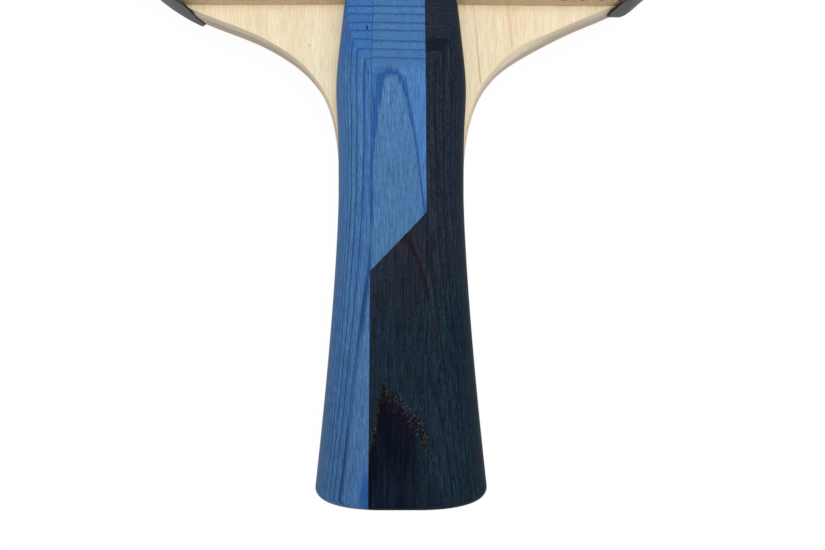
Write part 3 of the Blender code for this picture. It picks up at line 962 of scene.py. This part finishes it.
def blue_dyed_wood():
    """Blue veneer block: dark glue lines, veneers between two tones, fibres and an arch of rings."""
    wood = Finish("blue_dyed_wood", 0.1, 0.05)
    # Veneers, each with its own tone, and patches of a richer blue
    waver = wood.noise((220, 40, 220), 3.1, 2)
    ragged = wood.noise((5200, 420, 5200), 7.7, 2, 0.6)
    layer = wood.plus(wood.field("layer"), wood.centred(waver, 0.24))
    slope = on_slope(wood)
    torn = wood.times(wood.math("SUBTRACT", ragged, 0.5), wood.between(slope, 0.16, 0.36))
    layer = wood.plus(layer, torn)
    part = wood.math("FRACT", layer)
    tone = wood.pick(wood.math("FLOOR", layer))
    body = wood.mix(tone, dye(69, 112, 159), dye(78, 122, 170))
    rich = wood.mix(tone, dye(54, 104, 165), dye(64, 113, 175))
    patch = wood.noise((420, 60, 420), 11.3, 2)
    share = wood.math("ADD", wood.field("rich"), wood.centred(patch, 0.8), clamp=True)
    body = wood.mix(share, body, rich)

    # Wood outside and inside the arch
    jag = wood.noise((2800, 230, 2800), 13.7, 3, 0.7)
    arch = wood.plus(wood.field("arch"), wood.centred(jag, 2.8))
    outer = wood.times(wood.map(arch, 0.6, 1.5), wood.map(arch, 16, 12))
    outer = wood.times(outer, wood.map(wood.axis("Y"), *ARCH_END_RUN))
    beside = wood.mix(wood.map(wood.axis("X"), *ARCH_SIDES), dye(58, 106, 166), dye(69, 117, 174))
    body = wood.mix(outer, body, beside)
    inside = wood.map(arch, 0.0, -0.5)
    body = wood.mix(wood.times(inside, 0.85), body, dye(69, 113, 160))

    # Fibres and flecks, and painted shade that darkens the blue toward the butt
    fibre = wood.noise((6500, 210, 6500), 5.2, 2, 0.6)
    fleck = wood.noise((6500, 1000, 6500), 9.4, 1)
    # depth is painted shade: light falling off toward the butt, set into the colour
    depth = wood.map(wood.axis("Y"), *BLUE_SHADE_RUN, 0.7, 0.98, smooth=False)
    calm = wood.between(slope, 1.0, 0.5)
    grain = wood.times(wood.swing(fibre, wood.times(calm, 1.7)), wood.swing(fleck, calm), depth)
    color = wood.tint(body, grain)

    # Glue lines, and fainter lines between them
    rings = wood.math("FRACT", wood.times(layer, 3.0))
    faint = wood.times(wood.map(rings, 0.6, 0.95), wood.map(patch, 0.35, 0.6))
    faint = wood.times(faint, wood.map(fibre, 0.65, 0.4), 0.5)
    force = wood.pick(wood.math("FLOOR", wood.plus(layer, 0.5)))
    gaps = wood.map(wood.noise((700, 50, 700), 2.6, 2), 0.25, 0.5, 0.5, 1.0)
    near = wood.math("SUBTRACT", 0.5, wood.math("ABSOLUTE", wood.math("SUBTRACT", part, 0.5)))
    steep = wood.field("steep")
    line = wood.map(near, wood.times(steep, 0.19), wood.times(steep, 0.03))
    line = wood.times(line, gaps, wood.math("MULTIPLY_ADD", force, 0.3, 0.7))
    line = wood.times(line, wood.between(slope, 1.0, 0.72))
    # The glue lines' colour takes the same painted shade toward the butt
    color = wood.mix(wood.math("MAXIMUM", line, faint), color, wood.tint(dye(24, 64, 118), depth))

    # Bright flecks and dark band of the arch, a knot on the slope and a stain at the butt
    tip = wood.map(wood.axis("Y"), *ARCH_TIP_RUN)
    bright = wood.times(inside, tip, wood.map(fleck, 0.5, 0.62), wood.map(fibre, 0.48, 0.58), 0.45)
    color = wood.mix(bright, color, dye(132, 164, 196))
    band = wood.times(wood.map(arch, -0.6, 0.05), wood.map(arch, 1.5, 0.2))
    ring = wood.tint(dye(27, 75, 139), wood.around(fibre, 1.6))
    color = wood.mix(wood.times(band, 0.92), color, ring)
    color = wood.mix(wood.map(wood.spot(*KNOT), 1.0, 0.6), color, dye(10, 26, 62))
    stain = wood.plus(wood.spot(*STAIN), wood.times(jag, 0.8))
    stained = wood.tint(dye(22, 74, 138), wood.around(fibre, 1.2))
    color = wood.mix(wood.map(stain, 1.5, 0.9, 0.0, 0.8), color, stained)
    relief = wood.plus(fibre, wood.times(fleck, 0.6))
    return wood.done(color, wood.map(fibre, 0.3, 0.7, 0.5, 0.62), relief, 0.25, WOOD_RELIEF)


def dark_dyed_wood():
    """Black-blue veneer block: short fibres, faint glue lines, a dark growth line and a resin patch."""
    wood = Finish("dark_dyed_wood", 0.03, 0.04)
    # Fibres and pores
    waver = wood.noise((220, 40, 220), 4.6, 2)
    layer = wood.plus(wood.field("layer"), wood.centred(waver, 0.24))
    part = wood.math("FRACT", layer)
    fibre = wood.noise((6000, 130, 6000), 5.9, 2, 0.6)
    short = wood.noise((6500, 1100, 6500), 8.3, 1)
    cloud = wood.noise((300, 30, 300), 2.2, 2)
    head = wood.map(wood.axis("Y"), *DARK_RUN)
    slope = on_slope(wood)
    mood = wood.plus(wood.map(cloud, 0.35, 0.65, 0.0, 0.35), wood.times(head, 0.65))
    body = wood.mix(mood, dye(21, 38, 51), dye(35, 42, 55))
    calm = wood.between(slope, 1.0, 0.5)
    thread = wood.math("MAXIMUM", wood.swing(fibre, wood.times(calm, 3.3)), 0.2)
    pores = wood.math("MAXIMUM", wood.swing(short, wood.times(calm, 2.1)), 0.2)
    grain = wood.times(thread, pores)
    color = wood.tint(body, grain)

    # Dark late wood, the thick veneer, pale glue lines on the slope, and specks
    streaks = wood.math("FRACT", wood.times(layer, 2.0))
    late = wood.math("MAXIMUM", wood.map(part, 0.55, 0.95), wood.map(streaks, 0.6, 0.95, 0.0, 0.6))
    color = wood.mix(wood.times(late, wood.between(slope, 0.6, 0.15)), color, dye(12, 18, 28))
    over = wood.map(layer, THICK_VENEER - VENEER_EDGE, THICK_VENEER + VENEER_EDGE)
    under = wood.map(layer, THICK_VENEER + 1 + VENEER_EDGE, THICK_VENEER + 1 - VENEER_EDGE)
    color = wood.mix(wood.times(over, under, slope, 0.6), color, dye(14, 20, 28))
    thin = wood.math("MAXIMUM", wood.map(part, 0.94, 0.99), wood.map(part, 0.06, 0.01))
    color = wood.mix(wood.times(thin, wood.map(short, 0.35, 0.6), slope, 0.75), color, dye(58, 62, 72))
    speck = wood.noise((3000, 1100, 3000), 3.4, 1)
    color = wood.mix(wood.times(wood.map(speck, 0.72, 0.8), 0.35), color, dye(84, 92, 100))

    # Resin patch with a torn edge, black and violet just below it, and sparks of bare wood along its rim
    ragged = wood.noise((2800, 420, 2800), 12.9, 3, 0.75)
    spikes = wood.noise((1100, 60, 1100), 6.6, 2)
    torn = wood.plus(wood.times(ragged, 8.0), wood.times(spikes, 5.0))
    char = wood.plus(wood.field("char"), wood.math("SUBTRACT", torn, 6.8))
    fade = wood.field("fade")
    below = wood.map(char, -0.3, 0.3)
    deep = wood.tint(wood.mix(fade, dye(3, 8, 24), dye(8, 23, 35)), grain)
    veins = wood.noise((1500, 26, 1500), 3.9, 2, 0.6)
    settle = wood.times(wood.map(char, 9.0, 15.0, 1.0, 0.75), wood.map(fade, 0.6, 1.0, 1.0, 0.2))
    settle = wood.times(settle, wood.map(veins, 0.45, 0.65, 1.0, 0.6))
    color = wood.mix(wood.times(below, settle), color, deep)
    close = wood.map(wood.times(char, wood.between(fade, 0.4, 1.0)), 2.8, 0.9)
    violet = wood.mix(wood.map(cloud, 0.4, 0.6), dye(4, 6, 13), dye(13, 9, 22))
    color = wood.mix(wood.times(below, close, 0.95), color, wood.tint(violet, wood.around(short, 2.8)))
    rust = wood.noise((6500, 2000, 6500), 15.1, 1)
    rim = wood.times(wood.map(char, -3.2, -0.4), wood.map(char, 3.6, 0.8))
    color = wood.mix(wood.times(rim, wood.map(rust, 0.52, 0.42), 0.9), color, dye(7, 8, 12))
    cluster = wood.map(wood.noise((1100, 420, 1100), 4.1, 2), 0.36, 0.62, 0.15, 1.0)
    sparks = wood.times(rim, wood.map(rust, 0.52, 0.66), wood.map(fade, 0.0, 0.3, 0.55, 0.85), cluster)
    color = wood.mix(sparks, color, dye(82, 77, 77))

    # Growth line and the smear round it
    streak = wood.plus(wood.field("streak"), wood.centred(ragged, 1.6))
    smear = wood.times(wood.map(streak, 3.4, 0.6), wood.map(wood.axis("Y"), *SMEAR_RUN), 0.6)
    color = wood.mix(smear, color, wood.tint(dye(40, 36, 42), grain))
    core = wood.times(wood.map(streak, 1.0, 0.2), 0.85)
    color = wood.mix(core, color, wood.tint(dye(24, 22, 26), wood.around(short, 1.8)))
    relief = wood.plus(fibre, wood.times(short, 0.6))
    return wood.done(color, wood.map(fibre, 0.3, 0.7, 0.5, 0.64), relief, 0.3, WOOD_RELIEF)


def growth_line(wood, wander, foot, lean, stop, width):
    """Mask of one slanted straight growth line on the front face, above the height where it stops."""
    slant = wood.math("MULTIPLY_ADD", wood.axis("Y"), lean, -foot - lean * HANDLE_LENGTH)
    aside = wood.plus(wood.plus(wood.axis("X"), slant), wander)
    across = wood.map(wood.math("ABSOLUTE", aside), width, 0.2 * width)
    return wood.times(across, wood.map(wood.axis("Y"), stop, stop + MM), wood.map(wood.axis("Z"), 0, MM))


def pale_face_veneer():
    """Bare pale veneer: fine fibres along the handle, thin orange growth lines, a greyer sanded edge."""
    wood = Finish("pale_face_veneer", 0.12)
    grain = wood.noise((1300, 16, 1300), 2.7, 3, 0.6)
    band = wood.noise((150, 6, 150), 6.1, 2)
    fine = wood.noise((6400, 240, 6400), 4.4, 2, 0.6)
    pore = wood.noise((5200, 700, 5200), 9.9, 1, 0.5)
    tones = ((0.3, dye(226, 206, 171)), (0.5, dye(232, 216, 184)), (0.7, dye(237, 225, 195)))
    body = wood.ramp(wood.plus(wood.times(grain, 0.5), wood.times(band, 0.5)), tones)
    color = wood.tint(body, wood.times(wood.around(fine, 0.62), wood.around(pore, 0.2)))
    pores = wood.times(wood.map(pore, 0.58, 0.74), 0.4)
    color = wood.mix(pores, color, dye(203, 180, 142))
    wander = wood.centred(wood.noise((90, 40, 90), 1.3, 2), 1.4 * MM)
    lines = [growth_line(wood, wander, *line) for line in GROWTH_LINES]
    broken = wood.map(fine, 0.3, 0.55, 0.35, 0.65)
    low = wood.map(wood.axis("Y"), *ORANGE_RUN, 0.5, 1.0)
    color = wood.mix(wood.times(lines[0], broken, low), color, dye(196, 148, 96))
    color = wood.mix(wood.times(lines[1], broken, 0.75), color, dye(206, 164, 114))
    color = wood.mix(wood.times(lines[2], broken, 0.35), color, dye(224, 188, 152))
    spot = wood.times(wood.map(wood.spot(*FLECK), 1.0, 0.3), 0.8)
    color = wood.mix(spot, color, dye(178, 156, 114))
    strata = wood.noise((60, 60, 1500), 8.1, 2)
    dusty = wood.mix(wood.map(strata, 0.35, 0.65), dye(196, 180, 154), dye(212, 197, 171))
    dusty = wood.tint(dusty, wood.around(fine, 0.2))
    color = wood.mix(wood.times(wood.field("edge"), 0.85), color, dusty)
    relief = wood.math("SUBTRACT", fine, pores)
    return wood.done(color, wood.map(fine, 0.3, 0.7, 0.55, 0.68), relief, 0.2, WOOD_RELIEF)


def core_edge_veneer():
    """Inner veneers, which show only as a dusty sanded edge with strata and fine fibres."""
    wood = Finish("core_edge_veneer", 0.12)
    strata = wood.noise((60, 60, 1500), 8.1, 2)
    grain = wood.noise((700, 700, 2600), 3.3, 3, 0.6)
    fine = wood.noise((3600, 3600, 3600), 8.8, 2)
    tones = ((0.35, dye(196, 180, 160)), (0.5, dye(208, 193, 173)), (0.65, dye(220, 207, 187)))
    body = wood.ramp(strata, tones)
    color = wood.tint(body, wood.times(wood.around(grain, 0.4), wood.around(fine, 0.2)))
    return wood.done(color, wood.map(fine, 0.3, 0.7, 0.58, 0.7), fine, 0.2, WOOD_RELIEF)


def tan_foam():
    """Cut sponge: small round cells of two sizes that darken the tan and pit the surface."""
    foam = Finish("tan_foam", 0.12)
    large = foam.cells((4200, 4200, 4200), 1.1)
    small = foam.cells((9000, 9000, 9000), 5.3)
    cloud = foam.noise((500, 500, 500), 2.9, 2)
    tones = ((0.1, dye(186, 160, 126)), (0.4, dye(212, 187, 150)), (0.7, dye(219, 196, 160)))
    body = foam.ramp(large, tones)
    color = foam.tint(body, foam.times(foam.around(cloud, 0.3), foam.map(small, 0.0, 0.5, 0.88, 1.04)))
    relief = foam.plus(large, foam.times(small, 0.5))
    return foam.done(color, 0.85, relief, 0.4, FOAM_RELIEF)


def pip_print(rubber):
    """Lattice of soft dots on the pips' own spacing and rows: the sum of three waves."""
    turn = 2 * math.pi / PIP_SPACING
    across = rubber.math("MULTIPLY_ADD", rubber.axis("X"), turn, -turn * PIP_START)
    climb = math.pi / PIP_ROW
    along = rubber.math("MULTIPLY_ADD", rubber.axis("Y"), climb, -climb * (FRONT_CUT + PIP_SETBACK))
    both = rubber.times(rubber.math("COSINE", across), rubber.math("COSINE", along))
    double = rubber.math("COSINE", rubber.times(across, 2.0))
    return rubber.map(rubber.math("MULTIPLY_ADD", both, 2.0, double), 0.4, 2.2)


def smooth_rubber(name, base, worn, dust):
    """Smooth rubber: a faint print of the pips below, soft cloudy wear and specks of dust."""
    rubber = Finish(name, 0.35)
    cloud = rubber.noise((38, 38, 38), 3.7, 4, 0.6)
    rub = rubber.noise((24, 60, 24), 9.1, 3, 0.6)
    grain = rubber.noise((5200, 5200, 5200), 1.9, 2)
    speck = rubber.noise((1700, 1700, 1700), 6.7, 1)
    dots = pip_print(rubber)
    color = rubber.mix(rubber.map(cloud, 0.3, 0.8), base, worn)
    shade = rubber.times(rubber.around(grain, 0.2), rubber.between(dots, 1.0, 0.93))
    color = rubber.tint(color, shade)
    color = rubber.mix(rubber.times(rubber.map(speck, 0.72, 0.8), 0.25), color, dust)
    fine = rubber.map(grain, 0.3, 0.7, -0.03, 0.03)
    rough = rubber.plus(rubber.map(rub, 0.25, 0.75, 0.4, 0.48), fine)
    relief = rubber.plus(rubber.times(dots, 0.35), rubber.times(grain, 0.15))
    return rubber.done(color, rough, relief, 0.2, SKIN_RELIEF)


def grey_tape_film():
    """Satin grey film: a fine pebble, faint long creases, paler scuffed patches and painted shadow at the
    cut ends.
    """
    film = Finish("grey_tape_film", 0.15)
    pebble = film.noise((3600, 3600, 3600), 2.3, 2)
    crease = film.noise((120, 120, 1400), 7.1, 2)
    scuff = film.noise((300, 300, 500), 4.9, 3, 0.6)
    tones = ((0.3, dye(46, 45, 47)), (0.55, dye(52, 51, 53)), (0.8, dye(61, 60, 62)))
    body = film.ramp(scuff, tones)
    color = film.tint(body, film.times(film.around(pebble, 0.3), film.around(crease, 0.2)))
    # Painted shadow line along the cut ends of the tape
    color = film.mix(film.times(film.field("end"), 0.5), color, dye(24, 23, 25))
    relief = film.plus(pebble, crease)
    return film.done(color, film.map(pebble, 0.3, 0.7, 0.42, 0.56), relief, 0.2, SKIN_RELIEF)


def floor_finish():
    """Plain white: glows to the eye and in gloss, with a faint shadow; a pale sheet to other rays."""
    material = bpy.data.materials.new("white_floor")
    material.use_nodes = True
    tree = material.node_tree
    tree.nodes.clear()
    path = add_node(tree, "ShaderNodeLightPath", {}).outputs
    rays = {0: path["Is Glossy Ray"], 1: path["Is Transmission Ray"]}
    shiny = add_node(tree, "ShaderNodeMath", rays, operation="MAXIMUM")
    rays = {0: path["Is Camera Ray"], 1: shiny.outputs[0]}
    seen = add_node(tree, "ShaderNodeMath", rays, operation="MAXIMUM")
    glow = add_node(tree, "ShaderNodeEmission", {"Color": WHITE, "Strength": FLOOR_GLOW})
    veil = add_node(tree, "ShaderNodeBsdfDiffuse", {"Color": (FLOOR_VEIL, FLOOR_VEIL, FLOOR_VEIL, 1)})
    both = add_node(tree, "ShaderNodeAddShader", {0: glow.outputs[0], 1: veil.outputs[0]})
    sheet = add_node(tree, "ShaderNodeBsdfDiffuse", {"Color": (FLOOR_SHEET, FLOOR_SHEET, FLOOR_SHEET, 1)})
    shaders = {"Fac": seen.outputs[0], 1: sheet.outputs[0], 2: both.outputs[0]}
    pick = add_node(tree, "ShaderNodeMixShader", shaders)
    add_node(tree, "ShaderNodeOutputMaterial", {"Surface": pick.outputs[0]})
    return material


def add_floor():
    """A plane through the places on which the paddle rests: the back crest and the back rubber's tip."""
    rest_y, rest_z = np.array(FLOOR_TOUCH).T
    slope = (rest_z[1] - rest_z[0]) / (rest_y[1] - rest_y[0])
    x = np.array((-1, 1, 1, -1)) * FLOOR_REACH
    y = np.array((-1, -1, 1, 1)) * FLOOR_REACH
    z = rest_z[0] + slope * (y - rest_y[0])
    data = bpy.data.meshes.new("floor")
    data.from_pydata(np.column_stack([x, y, z]).tolist(), [], [(0, 1, 2, 3)])
    data.materials.append(floor_finish())
    floor = bpy.data.objects.new("floor", data)
    bpy.context.scene.collection.objects.link(floor)


def add_lamp(name, place, size, power):
    """A square soft lamp that faces the handle."""
    lamp = bpy.data.lights.new(name, "AREA")
    lamp.size = size
    lamp.energy = power
    made = bpy.data.objects.new(name, lamp)
    bpy.context.scene.collection.objects.link(made)
    made.location = place
    direction = Vector(LAMP_AIM) - Vector(place)
    made.rotation_euler = direction.to_track_quat("-Z", "Y").to_euler()


def add_light():
    """Even white sky, shown as white to the eye, with soft lamps from above and from both sides."""
    world = bpy.data.worlds.new("soft_room")
    bpy.context.scene.world = world
    world.use_nodes = True
    tree = world.node_tree
    sky = tree.nodes["Background"]
    feed(tree, sky.inputs["Color"], WHITE)
    feed(tree, sky.inputs["Strength"], SKY)
    backdrop = add_node(tree, "ShaderNodeBackground", {"Color": WHITE, "Strength": 1.0})
    path = add_node(tree, "ShaderNodeLightPath", {})
    shaders = {"Fac": path.outputs["Is Camera Ray"], 1: sky.outputs[0], 2: backdrop.outputs[0]}
    pick = add_node(tree, "ShaderNodeMixShader", shaders)
    feed(tree, tree.nodes["World Output"].inputs["Surface"], pick.outputs[0])
    for lamp in LAMPS:
        add_lamp(*lamp)


def add_camera():
    """Straight above the handle, looking down on the front face with the head upwards."""
    lens = bpy.data.cameras.new("camera")
    lens.lens = CAMERA_LENS
    lens.sensor_width = CAMERA_SENSOR
    lens.clip_start = CAMERA_NEAR
    camera = bpy.data.objects.new("camera", lens)
    bpy.context.scene.collection.objects.link(camera)
    camera.location = CAMERA_PLACE
    bpy.context.scene.camera = camera


def main():
    """Makes each piece with its finish, then the floor, the light and the camera."""
    blue_wood, dark_wood = blue_dyed_wood(), dark_dyed_wood()
    add_handle_half(True, blue_wood, dark_wood)
    add_handle_half(False, blue_wood, dark_wood)
    add_blade(pale_face_veneer(), core_edge_veneer())
    red = smooth_rubber("red_smooth_rubber", dye(180, 34, 36), dye(186, 41, 42), dye(214, 150, 146))
    black = smooth_rubber("black_smooth_rubber", dye(27, 27, 29), dye(32, 32, 34), dye(120, 120, 122))
    add_rubbers(tan_foam(), red, black)
    add_edge_tape(grey_tape_film())
    add_floor()
    add_light()
    add_camera()
    bpy.context.scene.view_settings.view_transform = "Standard"


main()
